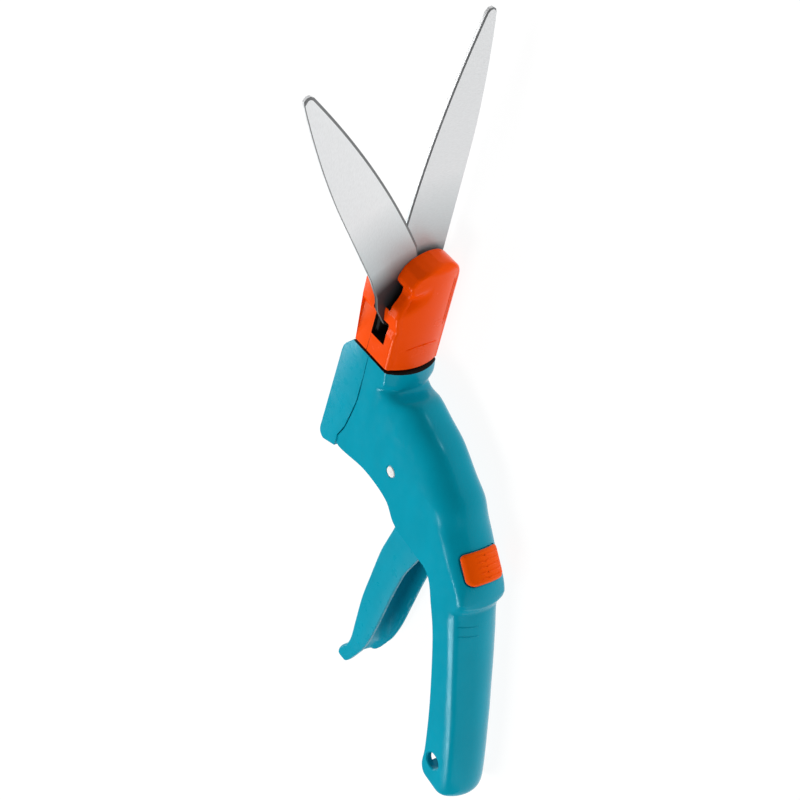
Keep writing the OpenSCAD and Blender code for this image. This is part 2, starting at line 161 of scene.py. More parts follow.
def moulded_plastic(name, colour, roughness, grain=0.12, specular=0.17, tint=(1, 1, 1)):
    """Injection-moulded plastic: faint flow marks in the colour, fine grain, uneven polish."""
    material, tree, shader = new_material(name)
    flow = add_noise(tree, 35, 3, (1, 2.5, 1))
    tree.links.new(mottled(tree, flow, colour, 0.95, 1.04), shader.inputs["Base Color"])
    polish = add_noise(tree, 220, 5)
    uneven_roughness(tree, shader, polish, roughness - 0.05, roughness + 0.07)
    add_bump(tree, shader, add_noise(tree, 3200, 2).outputs["Fac"], grain, 0.00006)
    shader.inputs["Specular IOR Level"].default_value = specular
    shader.inputs["Specular Tint"].default_value = (*tint, 1)
    return material


def turned_steel(name, colour, roughness, metallic=1.0):
    """Machined steel: short turning marks and a slightly stained surface."""
    material, tree, shader = new_material(name)
    stain = add_noise(tree, 160, 4)
    tree.links.new(mottled(tree, stain, colour, 0.82, 1), shader.inputs["Base Color"])
    marks = add_noise(tree, 900, 3, (1, 9, 9))
    uneven_roughness(tree, shader, marks, roughness - 0.08, roughness + 0.1)
    add_bump(tree, shader, marks.outputs["Fac"], 0.15, 0.00005)
    shader.inputs["Metallic"].default_value = metallic
    return material


MIX_A, MIX_B, MIX_RESULT = 6, 7, 2  # the Mix node's colour sockets
PAINTED_SHADE_REACH = 0.1  # metres from the pivot that the ramp of painted shade covers


def blade_steel(name, colour, grain, dark_end, clear_from):
    """Ground blade: fine lines across the leaf, and painted shade round the pivot.

    The painted shade is darkest up to dark_end metres from the pivot and clears past clear_from."""
    material, tree, shader = new_material(name)
    place = tree.nodes.new("ShaderNodeTexCoord")
    away = tree.nodes.new("ShaderNodeVectorMath")
    away.operation = "DISTANCE"
    away.inputs[1].default_value = at(PIVOT_X, 0, PIVOT_Z)
    tree.links.new(place.outputs["Object"], away.inputs[0])
    span = add_range(tree, away.outputs["Value"], 0, 1, 0, PAINTED_SHADE_REACH)
    # painted shade: the steel darkens towards the pivot, where the head's shell shades the blade
    painted_pivot_shade = add_ramp(tree, span.outputs["Result"], [
        (dark_end / PAINTED_SHADE_REACH, (0.04, 0.045, 0.05)),
        (clear_from / PAINTED_SHADE_REACH, (0.62, 0.69, 0.70)),
        (0.72, (1, 1, 1)),
    ])
    lines = add_noise(tree, 700, 4, grain)
    steel = mottled(tree, lines, colour, 0.93, 1.03)
    mix = tree.nodes.new("ShaderNodeMix")
    mix.data_type = "RGBA"
    mix.blend_type = "MULTIPLY"
    mix.inputs["Factor"].default_value = 1
    tree.links.new(painted_pivot_shade.outputs["Color"], mix.inputs[MIX_A])
    tree.links.new(steel, mix.inputs[MIX_B])
    tree.links.new(mix.outputs[MIX_RESULT], shader.inputs["Base Color"])
    uneven_roughness(tree, shader, lines, 0.34, 0.5)
    add_bump(tree, shader, lines.outputs["Fac"], 0.08, 0.00004)
    shader.inputs["Metallic"].default_value = 0.25
    return material


TEAL, TEAL_GLOSS = (0.0, 0.325, 0.455), (0.45, 0.9, 1.0)
ORANGE, ORANGE_GLOSS = (1.0, 0.078, 0.0), (1.0, 0.35, 0.12)
MATERIALS = {
    "handle": moulded_plastic("handle_teal", TEAL, 0.2, tint=TEAL_GLOSS),
    "cover": moulded_plastic("cover_teal", shade(TEAL, 1.04), 0.28, tint=TEAL_GLOSS),
    "lever": moulded_plastic("lever_teal", shade(TEAL, 0.98), 0.3, tint=TEAL_GLOSS),
    "shell": moulded_plastic("shell_orange", ORANGE, 0.22, tint=ORANGE_GLOSS),
    "lower": moulded_plastic("lower_orange", shade(ORANGE, 1.04), 0.34, tint=ORANGE_GLOSS),
    # painted light: the slider's orange is lighter than the shell's, making up for the weaker
    # light on it
    "slider": moulded_plastic("slider_orange_painted_light", shade(ORANGE, 1.25), 0.4, 0.2, tint=ORANGE_GLOSS),
    "bush": moulded_plastic("bush_acetal", (0.03, 0.03, 0.032), 0.4),
    "rivet": moulded_plastic("rivet_white", (0.86, 0.86, 0.84), 0.32),
    "moving": blade_steel("moving_blade_steel", (0.90, 0.91, 0.92), (1, 1, 6), 0.029, 0.041),
    "fixed": blade_steel("fixed_blade_steel", (0.84, 0.85, 0.86), (6, 1, 1), 0.032, 0.039),
    "edge": turned_steel("ground_edge_steel", (0.20, 0.205, 0.21), 0.45, 0.4),
    # painted shade: black for faces inside the head and in the gap at the neck, where there is
    # only shade
    "inside": moulded_plastic("painted_shade_black", (0.012, 0.010, 0.009), 0.6, specular=0.15),
    "drive": turned_steel("drive_steel", (0.20, 0.205, 0.21), 0.42),
    "hardware": turned_steel("hardware_steel", (0.35, 0.355, 0.36), 0.36),
    "pin": turned_steel("pin_steel", (0.62, 0.62, 0.63), 0.28),
    "spring": turned_steel("spring_steel", (0.42, 0.42, 0.43), 0.3),
}

# ---- mesh helpers ----


def finish_mesh(bm, name, material, body, nodes=(), other=None, is_other=None):
    """Turns a bmesh into a shaded piece that rides on a body and stands for its CAD nodes.

    Faces for which is_other(centre in tool axes, normal) holds take the other material."""
    bmesh.ops.recalc_face_normals(bm, faces=bm.faces)
    for face in bm.faces:
        face.smooth = True
        if other:
            centre = (face.calc_center_median() - ORIGIN) / MM
            face.material_index = 1 if is_other(centre, face.normal) else 0
    mesh = bpy.data.meshes.new(name)
    bm.to_mesh(mesh)
    bm.free()
    mesh.set_sharp_from_angle(angle=SHARP)
    mesh.materials.append(MATERIALS[material])
    if other:
        mesh.materials.append(MATERIALS[other])
    piece = bpy.data.objects.new(name, mesh)
    bpy.context.scene.collection.objects.link(piece)
    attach(piece, body)
    if nodes:
        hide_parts(*nodes)
    return piece


def loft(rings):
    """Closed solid through rings of the same number of points."""
    bm = bmesh.new()
    rows = [[bm.verts.new(p) for p in ring] for ring in rings]
    count = len(rings[0])
    for a, b in zip(rows, rows[1:]):
        for i in range(count):
            j = (i + 1) % count
            bm.faces.new((a[i], a[j], b[j], b[i]))
    bm.faces.new(rows[0])
    bm.faces.new(rows[-1])
    bmesh.ops.recalc_face_normals(bm, faces=bm.faces)
    return bm


def around(steps):
    return [2 * math.pi * k / steps for k in range(steps)]


def quarter(steps):
    return [math.pi / 2 * k / steps for k in range(steps + 1)]


def lathe(centre, axis, profile):
    """Solid of revolution; profile is [distance along the axis, radius]."""
    turn = Vector(axis).to_track_quat("Z", "Y").to_matrix()
    rings = [[centre + turn @ Vector((r * math.cos(a), r * math.sin(a), h)) * MM
              for a in around(48)] for h, r in profile]
    return loft(rings)


def prism(outline, low, high, place):
    """Solid between two levels of a flat outline; place(u, v, level) gives the point."""
    return loft([[place(u, v, level) for u, v in outline] for level in (low, high)])


def boolean(bm, cutter, operation="DIFFERENCE"):
    """Returns bm with the cutter taken away or joined on; both inputs are used up."""
    made = []
    for part in (bm, cutter):
        mesh = bpy.data.meshes.new("work")
        part.to_mesh(mesh)
        part.free()
        thing = bpy.data.objects.new("work", mesh)
        bpy.context.scene.collection.objects.link(thing)
        made.append(thing)
    target, tool = made
    step = target.modifiers.new("cut", "BOOLEAN")
    step.operation = operation
    step.object = tool
    step.solver = "EXACT"
    result = bmesh.new()
    bpy.context.view_layer.update()
    result.from_object(target, bpy.context.evaluated_depsgraph_get())
    for thing in made:
        bpy.data.objects.remove(thing)
    return result


def cad_copy(node):
    bm = bmesh.new()
    bm.from_mesh(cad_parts[node].data)
    bmesh.ops.remove_doubles(bm, verts=bm.verts, dist=WELD)
    return bm


def refined(node, material, body, bevel, other=None, is_other=None):
    """A copy of a CAD node with its edges rounded and its curves shaded smooth."""
    bm = cad_copy(node)
    flat, edge = math.radians(0.6), math.radians(28)
    bmesh.ops.dissolve_limit(bm, angle_limit=flat, verts=bm.verts, edges=bm.edges)
    edges = [e for e in bm.edges if len(e.link_faces) == 2 and e.calc_face_angle(0) > edge]
    bmesh.ops.bevel(bm, geom=edges, offset=bevel * MM, offset_type="OFFSET", segments=3,
                    profile=0.5, clamp_overlap=True, affect="EDGES")
    return finish_mesh(bm, node + "_skin", material, body, [node], other, is_other)


def rib(name, points, radius, material, body):
    """Thin moulded bead that follows points, given in tool axes, and narrows at both ends."""
    path = [at(*p) for p in points]
    last = len(path) - 1
    rings = []
    for i, p in enumerate(path):
        ahead = (path[min(i + 1, last)] - path[max(i - 1, 0)]).normalized()
        turn = ahead.to_track_quat("Z", "Y").to_matrix()
        size = radius * MM * (0.3 if i in (0, last) else 1)
        rings.append([p + turn @ Vector((size * math.cos(a), size * math.sin(a), 0))
                      for a in around(8)])
    return finish_mesh(loft(rings), name, material, body)


def blend_rows(rows, t):
    """Catmull-Rom point through rows of numbers at t, counted in rows."""
    i = min(int(t), len(rows) - 2)
    u = t - i
    a, b, c, d = rows[max(i - 1, 0)], rows[i], rows[i + 1], rows[min(i + 2, len(rows) - 1)]
    return [q + (r - p) * u / 2 + (2 * p - 5 * q + 4 * r - s) * u * u / 2
            + (3 * q - p - 3 * r + s) * u ** 3 / 2 for p, q, r, s in zip(a, b, c, d)]


def read_off(points, x):
    """Value at x of the straight lines that join points."""
    for (xa, ya), (xb, yb) in zip(points, points[1:]):
        if x <= xb:
            u = max((x - xa) / (xb - xa), 0)
            return ya + (yb - ya) * u
    return points[-1][1]


def eased(low, length, steps):
    """Places over a length from low on, closer together towards both ends."""
    return [low + length * (0.5 - 0.5 * math.cos(math.pi * k / steps)) for k in range(steps + 1)]


def rounded_end(distance, radius):
    """How far an outline with rounded corners is drawn in at a distance from its end."""
    short = max(radius - distance, 0)
    return radius - math.sqrt(radius * radius - short * short)


def box_prism(x0, x1, y0, y1, z0, z1, place):
    return prism([(x0, y0), (x1, y0), (x1, y1), (x0, y1)], z0, z1, place)


# ---- handle ----

NECK_HALF_W, GRIP_HALF_W = 12.8, 10.8
HANDLE_LENGTH = 165
WALL = 2.6
NECK_FRONT = -2.8
# x and y of the front edge of the side wall, the crease where it meets the back, the back's top
HANDLE_ROWS = [
    (NECK_FRONT, 1.4, NECK_FRONT, -10.3, NECK_FRONT, -14.8), (-9, 1.4, -9, -10.8, -8.5, -15.4),
    (-14, 1.4, -14, -6.6, -11, -17.3), (-28, 1.8, -27.5, -6, -9.5, -26),
    (-44, 5, -33, -18, -13, -35), (-56, 8, -35, -30, -17.5, -45), (-54, -12, -37, -43, -25.5, -56),
    (-56.5, -28, -40, -54.5, -31.5, -64), (-63.5, -37, -46, -64.3, -40.9, -69.8),
    (-66, -52, -54, -71.7, -49.4, -76.7), (-68.5, -62, -62, -79.1, -57.4, -84.1),
    (-80, -68.5, -74, -83, -71.5, -89.5), (-95, -75, -95, -87.5, -93.2, -94.2),
    (-125, -83.5, -125, -95.5, -123.3, -102.3), (-148, -88.3, -148, -101.5, -146.4, -108.2),
    (-159, -89.6, -160, -104, -158.8, -110.2), (-164.4, -94.6, -165.5, -102.5, -165, -107.6),
]
LAST = len(HANDLE_ROWS) - 1
GRIP_START = 10.8  # row where the grip steps in below the thumb slide
GRIP_LINES = (11.28, 11.5)  # rows of the two short lines below that step
END_ROUND = 0.75  # rows over which the butt end rounds off
BUTT_IN, BUTT_FLAT = 0.28, 0.1  # how far the butt end closes across and along its section
EASE_NECK, EASE_GRIP = 1, 2.9  # rounding of the crease at the neck and along the grip
EASE_FROM = 6  # row where the rounding begins to grow
ROW_STEPS = 7
SIDE_STEPS, TURN_STEPS = (0, 0.03, 0.5), 6  # points of a ring down the side, round the crease
DOME_STEPS, DOME_DENSE = 34, 120
HOLE_LIP = 0.55  # chamfer at the mouths of the holes


def half_w(x):
    return NECK_HALF_W + (NECK_HALF_W - GRIP_HALF_W) * min(x, 0) / HANDLE_LENGTH


def rise(z, w, h):
    """Height of the rounded back above the crease: an arc when shallow, a full oval when deep."""
    if h < w:
        r = (w * w + h * h) / (2 * h)
        return math.sqrt(max(r * r - z * z, 0)) - r + h
    power = 2 + 0.8 * min(h / w - 1, 1)
    return h * max(1 - abs(z / w) ** power, 0) ** (1 / power)


# how far the back is drawn in behind the lock slide, by row, where the hand takes hold
STEP_IN = [(9.6, 0), (10.2, 0.8), (10.6, 1.2), (10.74, 1.3), (10.8, 1.8), (10.88, 2.8),
           (10.96, 3.2), (11.3, 2.6), (12, 1), (13, 0)]
# how far the crease moves forward along the side where the grip begins, by row
CREASE_SHIFT = [(9.2, 0), (9.8, -0.7), (10.3, -2.4), (10.55, -2.9), (10.7, -2), (10.85, 0.8),
                (10.95, 2.2), (11.1, 2.9), (11.3, 2.5), (11.7, 1), (12.2, 0)]


def along_path(path, steps, skip):
    """Points at even spacing along a path, leaving out a length skip at both ends."""
    reach = [0]
    for p, q in zip(path, path[1:]):
        reach.append(reach[-1] + (q - p).length)
    made = []
    i = 0
    for k in range(steps + 1):
        at_length = skip + (reach[-1] - 2 * skip) * k / steps
        while reach[i + 1] < at_length and i < len(path) - 2:
            i += 1
        made.append(path[i].lerp(path[i + 1], (at_length - reach[i]) / (reach[i + 1] - reach[i])))
    return made


def handle_section(t, inset=0.0):
    """Ring of the handle's outside at row t, drawn in by inset, from the left front edge round."""
    fx, fy, cx, cy, tx, ty = blend_rows(HANDLE_ROWS, t)
    front, crease, top = Vector((fx, fy)), Vector((cx, cy)), Vector((tx, ty))
    sunk = read_off(STEP_IN, t)
    if not inset:
        crease += (front - crease).normalized() * read_off(CREASE_SHIFT, t)
    up = (top - crease).normalized()
    w, wf = half_w(cx) - inset, half_w(fx) - inset
    h = (top - crease).length - inset - sunk
    dome = []
    for k in range(DOME_DENSE + 1):
        z = w * math.cos(math.pi * k / DOME_DENSE)
        q = crease + up * rise(z, w, h)
        dome.append(Vector((q.x, q.y, z)))
    ease = EASE_NECK + (EASE_GRIP - EASE_NECK) * min(max(t - EASE_FROM, 0), 1)
    edge = Vector((front.x, front.y, wf))
    side_end = dome[0] + (edge - dome[0]).normalized() * ease
    left = [edge.lerp(side_end, s) for s in SIDE_STEPS]
    over = along_path(dome, DOME_STEPS, ease)
    turn = [side_end.lerp(dome[0], s).lerp(dome[0].lerp(over[0], s), s)
            for s in (k / TURN_STEPS for k in range(TURN_STEPS))]
    flip = [Vector((p.x, p.y, -p.z)) for p in reversed(left + turn)]
    ring = left + turn + over + flip
    past = 0 if inset else max((t - LAST + END_ROUND) / END_ROUND, 0)
    shrink = 1 - math.sqrt(max(1 - past * past, 0))
    middle = (crease + top + front) / 3
    hub = Vector((middle.x, middle.y, 0))
    return [p + Vector(((hub.x - p.x) * BUTT_FLAT, (hub.y - p.y) * BUTT_FLAT, -p.z * BUTT_IN))
            * shrink for p in ring]


# rows are set closer where the grip steps in and at the butt end
row_places = [k / ROW_STEPS for k in range(LAST * ROW_STEPS + 1)]
row_places += [GRIP_START + k * 0.03 for k in range(-10, 18)]
row_places += [LAST - END_ROUND * (1 - k / 9) ** 2 for k in range(9)]
row_places.sort()

# the lock's place on the back, its direction of travel, and the direction away from the back
LOCK_AT, LOCK_ALONG = Vector((-54, -71.7, 0)), Vector((8, 7.4, 0)).normalized()
LOCK_OUT = Vector((LOCK_ALONG.y, -LOCK_ALONG.x, 0))
BACK_H = 6.8  # height of the back's arc above the crease there
PAD_BACK, PAD_FRONT, PAD_HALF_W = -10.5, 3.0, 9.0
PAD_BACK_CORNER, PAD_FRONT_CORNER = 3.4, 1.8
# lift of the pad's underside and edge off the back, height of its crown, width of its rounding
PAD_UNDER, PAD_EDGE, PAD_CROWN, PAD_ROUND = 0.42, 0.9, 0.8, 1.3
RECESS_MARGIN, RECESS_DEPTH = 0.5, 0.6


def lock_point(x, out, z):
    """Point in the lock's frame: x forward along the back, out from the crease, z across."""
    p = LOCK_AT + LOCK_ALONG * x + LOCK_OUT * out
    return at(p.x, p.y, p.z + z)


def on_back(x, lift, z):
    """Point in tool axes on the handle's back at the lock, lifted off it."""
    w = half_w(LOCK_AT.x)
    r = (w * w + BACK_H * BACK_H) / (2 * BACK_H)
    p = LOCK_AT + LOCK_ALONG * x + LOCK_OUT * (math.sqrt((r + lift) ** 2 - z * z) - r + BACK_H)
    return (p.x, p.y, z)


def pad_half_w(x, margin=0.0):
    """Half width of the thumb slide's rounded outline, grown by a margin."""
    back = rounded_end(x - PAD_BACK + margin, PAD_BACK_CORNER + margin)
    front = rounded_end(PAD_FRONT + margin - x, PAD_FRONT_CORNER + margin)
    return PAD_HALF_W + margin - back - front


def recess_ring(x):
    """Ring of the shallow recess that the thumb slide rests in."""
    across = [pad_half_w(x, RECESS_MARGIN) * (1 - i / 12) for i in range(25)]
    path = [on_back(x, -RECESS_DEPTH, z) for z in across]
    path += [on_back(x, 3, z) for z in reversed(across)]
    return [at(*p) for p in path]


def faces_head(centre, normal):
    """Whether a face of the neck looks into the gap behind the swivelling head; these take painted
    shade.
    """
    return centre.x > NECK_FRONT - 0.2 and normal.x > 0.9


def handle_cavity():
    """The channel in the handle; the neck and the butt end stay solid."""
    rings = []
    for t in row_places:
        if not 2 <= t <= LAST - 1:
            continue
        ring = handle_section(t, WALL)
        # carry the mouth of the cavity well past the front edges
        mouth = (ring[0] - ring[4]).normalized() * 14
        ring[0] = ring[0] + mouth
        ring[-1] = ring[-1] + Vector((mouth.x, mouth.y, -mouth.z))
        rings.append([at(*p) for p in ring])
    return loft(rings)


def build_handle():
    solid = loft([[at(*p) for p in handle_section(t)] for t in row_places])
    solid = boolean(solid, handle_cavity())
    # collar under the neck, and the bore through it for the swivel tube's bush
    collar = [(1, -10.4), (1, 10.4), (6, 10.4), (8.8, 9.2), (10, 6.4), (10, -6.4), (8.8, -9.2),
              (6, -10.4)]
    solid = boolean(solid, prism(collar, -9, NECK_FRONT, from_front), "UNION")
    bore = [(-20, 7.5), (NECK_FRONT - 0.6, 7.5), (NECK_FRONT + 1, 8.4)]
    solid = boolean(solid, lathe(at(0, 0, 0), (1, 0, 0), bore))
    for (x, y), radius in ((LEVER_PIN, LEVER_PIN_R), (HANG_HOLE, HANG_HOLE_R)):
        reach, wide = half_w(x), radius + HOLE_LIP + 1
        cut = [(-reach - 1, wide), (-reach + HOLE_LIP, radius), (reach - HOLE_LIP, radius),
               (reach + 1, wide)]
        solid = boolean(solid, lathe(at(x, y, 0), (0, 0, 1), cut))
    bolt_slot = box_prism(-8.6, -0.2, -2, 12, -2.3, 2.3, lock_point)
    solid = boolean(solid, bolt_slot)
    length = PAD_FRONT - PAD_BACK + 2 * RECESS_MARGIN
    recess = [recess_ring(x) for x in eased(PAD_BACK - RECESS_MARGIN, length, 24)]
    solid = boolean(solid, loft(recess))
    # the neck's faces towards the head take the black painted shade
    finish_mesh(solid, "handle_skin", "handle", "handle", ["handle_body"],
                "inside", faces_head)


build_handle()
for k, t in enumerate(GRIP_LINES):
    back_from = len(SIDE_STEPS) + TURN_STEPS
    line = handle_section(t)[back_from:back_from + 15]
    rib(f"grip_line_{k + 1}", line, 0.22, "handle", "handle")

# ---- thumb slide ----


def slider_ring(x):
    """Ring across the pad: its rounded top from side to side, then its underside."""
    half = pad_half_w(x)
    ring = []
    for i in range(33):
        z = half * math.sin(math.pi / 2 * (1 - i / 16))
        edge = min(half - abs(z), x - PAD_BACK, PAD_FRONT - x)
        crown = math.sin(math.pi / 2 * min(edge / PAD_ROUND, 1))
        ring.append(on_back(x, PAD_EDGE + PAD_CROWN * crown, z))
    ring += [on_back(x, PAD_UNDER, half * (i / 8 - 1)) for i in range(17)]
    return [at(*p) for p in ring]


def build_slider():
    rings = [slider_ring(x) for x in eased(PAD_BACK, PAD_FRONT - PAD_BACK, 40)]
    pad = boolean(loft(rings), box_prism(-8.4, -5.4, 5.8, 7.6, -2, 2, lock_point), "UNION")
    finish_mesh(pad, "lock_slider_skin", "slider", "lock", ["lock_slider"])
    for k in range(5):
        x = PAD_BACK + 2.1 + 2.3 * k
        line = [on_back(x, 1.6, 4 - 12 * i / 12) for i in range(13)]
        rib(f"slider_ridge_{k + 1}", line, 0.42, "slider", "lock")


build_slider()

# ---- squeeze lever ----

LEVER_HALF_W, LEVER_END, LEVER_CORNER = 9.0, -159.3, 1.6
HOLLOW_HALF_W, HOLLOW_POWER, HOLLOW_MOUTH = 7.3, 2.4, 6
LEVER_ROOT = -62  # the CAD lever is kept in front of this x
# x along the lever, then y of its outer edge, of the walls' rims and of the hollow's floor
LEVER_ROWS = [
    (-60, -34.3, -55, -37.6), (-67.7, -33.9, -53.1, -36.9), (-78, -31.6, -49.2, -34.6),
    (-86.7, -29.7, -46.1, -32.9), (-102.9, -27.9, -43, -31.2), (-117.4, -26.5, -40.8, -29.7),
    (-131.8, -26.5, -38.5, -29.5), (-142.3, -26.6, -35.7, -29.5), (-148, -25.6, -33.2, -28.6),
    (-151, -23.8, -31.8, -27), (-153.5, -22.3, -30.6, -25.9), (-156, -21.4, -29.2, -25.2),
    (-158, -21.6, -27.6, -25), (-159.2, -23, -26, -25),
]


def lever_ring(t):
    """Ring round the outside of the lever, before its hollow is taken out."""
    x, back, rim, _ = blend_rows(LEVER_ROWS, t)
    half = LEVER_HALF_W - rounded_end(max(x - LEVER_END, 0), 2)
    corner = min(LEVER_CORNER, (back - rim) / 3)
    side = [(rim, half - 0.6), (rim + 0.18, half - 0.18), (rim + 0.6, half)]
    side += [((rim + back) / 2, half)]
    side += [(back - corner + corner * math.sin(a), half - corner + corner * math.cos(a))
             for a in quarter(6)]
    path = side + [(back, (half - corner) * s) for s in (0.6, 0.2, -0.2, -0.6)]
    path += [(y, -z) for y, z in reversed(side)]
    return [at(x, y, z) for y, z in path]


def lever_hollow_ring(t, past=0.0):
    """Ring of the rounded hollow at row t, moved past the row towards the nose."""
    x, _, rim, deepest = blend_rows(LEVER_ROWS, t)
    depth = max(deepest - rim, 0.05)
    path = [(rim - HOLLOW_MOUTH, HOLLOW_HALF_W)]
    for a in (math.pi * k / 24 for k in range(25)):
        c, s = math.cos(a), math.sin(a)
        out = HOLLOW_HALF_W * abs(c) ** (2 / HOLLOW_POWER)
        path.append((rim + depth * abs(s) ** (2 / HOLLOW_POWER), math.copysign(out, c)))
    path.append((rim - HOLLOW_MOUTH, -HOLLOW_HALF_W))
    return [at(x - past, y, z) for y, z in path]


def build_lever():
    last = len(LEVER_ROWS) - 1
    lever = loft([lever_ring(last * k / 104) for k in range(105)])
    hollow = [lever_hollow_ring(0.5 + (last - 0.5) * k / 70) for k in range(71)]
    lever = boolean(lever, loft(hollow + [lever_hollow_ring(last, 3)]))
    root = boolean(cad_copy("squeeze_lever"), box_prism(-170, LEVER_ROOT, -80, 0, -12, 12, at))
    lever = boolean(lever, root, "UNION")
    finish_mesh(lever, "squeeze_lever_skin", "lever", "lever", ["squeeze_lever"])


build_lever()

# ---- cutting head ----

HEAD_W, HEAD_TOP, CROWN = 13.0, -10.0, 3.4
SHELL_BACK, SHELL_FRONT = -1.0, 48.9
FRONT_CORNER, FRONT_DROP = 9.5, 3.4  # rounding of the front, across and over the top
EDGE_R = 1.9  # rounding of the long top edges
ROOF = -1.9  # y of the upper shell's lower edge
# left limit of the upper shell along x, with the scooped notch, and its rounded front
LEFT_EDGE = [(-1, 13), (14, 13), (17.5, 12.5), (20.5, 13.1), (24, 13.5), (27.5, 12.8),
             (30.5, 10.9), (33.5, 9.6), (36, 9.5), (38, 10.9), (40, 11), (44.2, 8.9),
             (46.6, 6), (48, 2.6), (48.9, -1)]


def shell_limits(x):
    """Right and left edges of the upper shell at x."""
    past = min(max((x - SHELL_FRONT + FRONT_CORNER) / FRONT_CORNER, 0), 1)
    right = -HEAD_W + FRONT_CORNER * (1 - math.sqrt(1 - past * past))
    return min(right, -1.2), max(read_off(LEFT_EDGE, x), -0.9)


def crown_y(x, z):
    """Top of the upper shell, with the scoop behind its notch and its rounded front."""
    past = min(max((x - SHELL_FRONT + FRONT_DROP) / FRONT_DROP, 0), 1)
    from_line = x - 29.5 - (12.5 - z) * 0.75
    scoop = math.exp(-((from_line / 2.6) ** 2)) * min(max((z - 2) / 8, 0), 1.2)
    top = HEAD_TOP - rise(z, HEAD_W - 0.2, CROWN)
    return top + FRONT_DROP * (1 - math.sqrt(1 - past * past)) + 3.2 * scoop


def shell_ring(x):
    """Ring of the upper shell: the left wall, the crown, and the right wall."""
    right, left = shell_limits(x)
    round_r = min(EDGE_R, (left - right) / 2.2)
    sides = []
    for side, edge in ((1, left), (-1, right)):
        inner = edge - side * round_r
        base = crown_y(x, inner) + round_r
        wall = [(ROOF + (base - ROOF) * s, edge) for s in (0, 0.06, 0.5, 0.94)]
        turn = [(base - round_r * math.sin(a), inner + side * round_r * math.cos(a))
                for a in quarter(5)[:-1]]
        sides.append(wall + turn)
    z0, z1 = left - round_r, right + round_r
    over = [(crown_y(x, z), z) for z in (z0 + (z1 - z0) * k / 26 for k in range(27))]
    path = sides[0] + over + sides[1][::-1]
    return [at(x, y, z) for y, z in path]


def build_upper_shell():
    close = 4  # the rings are set closer over the last part of the front
    xs = [SHELL_BACK + (SHELL_FRONT - close - SHELL_BACK) * k / 70 for k in range(70)]
    xs += [SHELL_FRONT - close * (1 - k / 16) ** 2 for k in range(17)]
    solid = loft([shell_ring(x) for x in xs])
    skirt = [(-1, -13), (20, -13), (20, -12.1), (7.8, -12.1), (7.8, -7.8), (2.6, -7.8),
             (2.6, 7.8), (8.3, 7.8), (8.3, 13), (-1, 13)]
    solid = boolean(solid, prism(skirt, ROOF - 0.6, 3.1, from_above), "UNION")
    # room for the slide driver and the blades, then the window and the notch in the left wall
    pocket = [(2.6, -12.1), (26, -12.1), (26, 11), (8.3, 11), (8.3, 7.8), (2.6, 7.8)]
    window = [(8.3, 9.6), (18.5, 9.6), (18.5, 16), (8.3, 16)]
    notch = [(25, 8), (36, 6.5), (37, 16), (25, 16)]
    for outline, low, high in ((pocket, -7.6, ROOF + 0.5), (window, -5.4, 4),
                               (notch, -4.6, ROOF + 0.5)):
        solid = boolean(solid, prism(outline, low, high, from_above))
    # seat of the swivel tube and its flange
    bore = [(-3, 5.6), (0.8, 5.6), (0.8, 8.55), (2.6, 8.55), (2.6, 4.4), (8.4, 4.4)]
    solid = boolean(solid, lathe(at(0, 0, 0), (1, 0, 0), bore))

    def within(c, normal):
        right, left = shell_limits(c.x)
        return right + 0.5 < c.z < left - 0.5 and c.y > -7.7 and 2.4 < c.x < SHELL_FRONT - 2

    # faces inside the pocket and the notch take the black painted shade
    finish_mesh(solid, "upper_shell_skin", "shell", "head", ["upper_shell"],
                "inside", within)


build_upper_shell()
bead = [(8.9 + 1.6 * (1 - (z / 8) ** 2), z - 1) for z in (8 - 16 * k / 14 for k in range(15))]
rib("shell_bead", [(x, crown_y(x, z) - 0.05, z) for x, z in bead], 0.3,
    "shell", "head")
for k, z in enumerate((-9.6, -10.9)):
    rib(f"shell_line_{k + 1}", [(x, crown_y(x, z) + 0.02, z) for x in range(17, 42, 2)], 0.22,
        "shell", "head")

# ---- blades ----

REACH, BLADE_T = 142.5, 1.6
OPEN = math.radians(32)
EDGE_DROP = 0.5  # depth of the ground edge
FIXED_TOP, MOVING_TOP = 0, -1.7
BOLT_HOLE_R, PIN_HOLE_R = 2.55, 1.5
DRIVE_ARM, DRIVE_SWING = 6.5, math.radians(15.5)


def leaf():
    """Leaf outline from the pivot, u along it and v to the cutting side.

    Returns the cutting side with the blunt tip, and the back."""
    cut = [(38 + (REACH - 39.9) * s, 14.6 - 12.7 * s ** 1.9) for s in (i / 24 for i in range(25))]
    tip = [(REACH - 0.4, 0.9), (REACH, -0.7), (REACH - 0.8, -2.1)]
    spine = []
    for s in (i / 20 for i in range(21)):
        belly = math.sin(math.pi / 2 * min(s * 1.6, 1)) ** 0.9
        spine.append((REACH - 2.2 - (REACH - 40.2) * s, -2.6 - 5.4 * belly))
    return cut + tip, spine


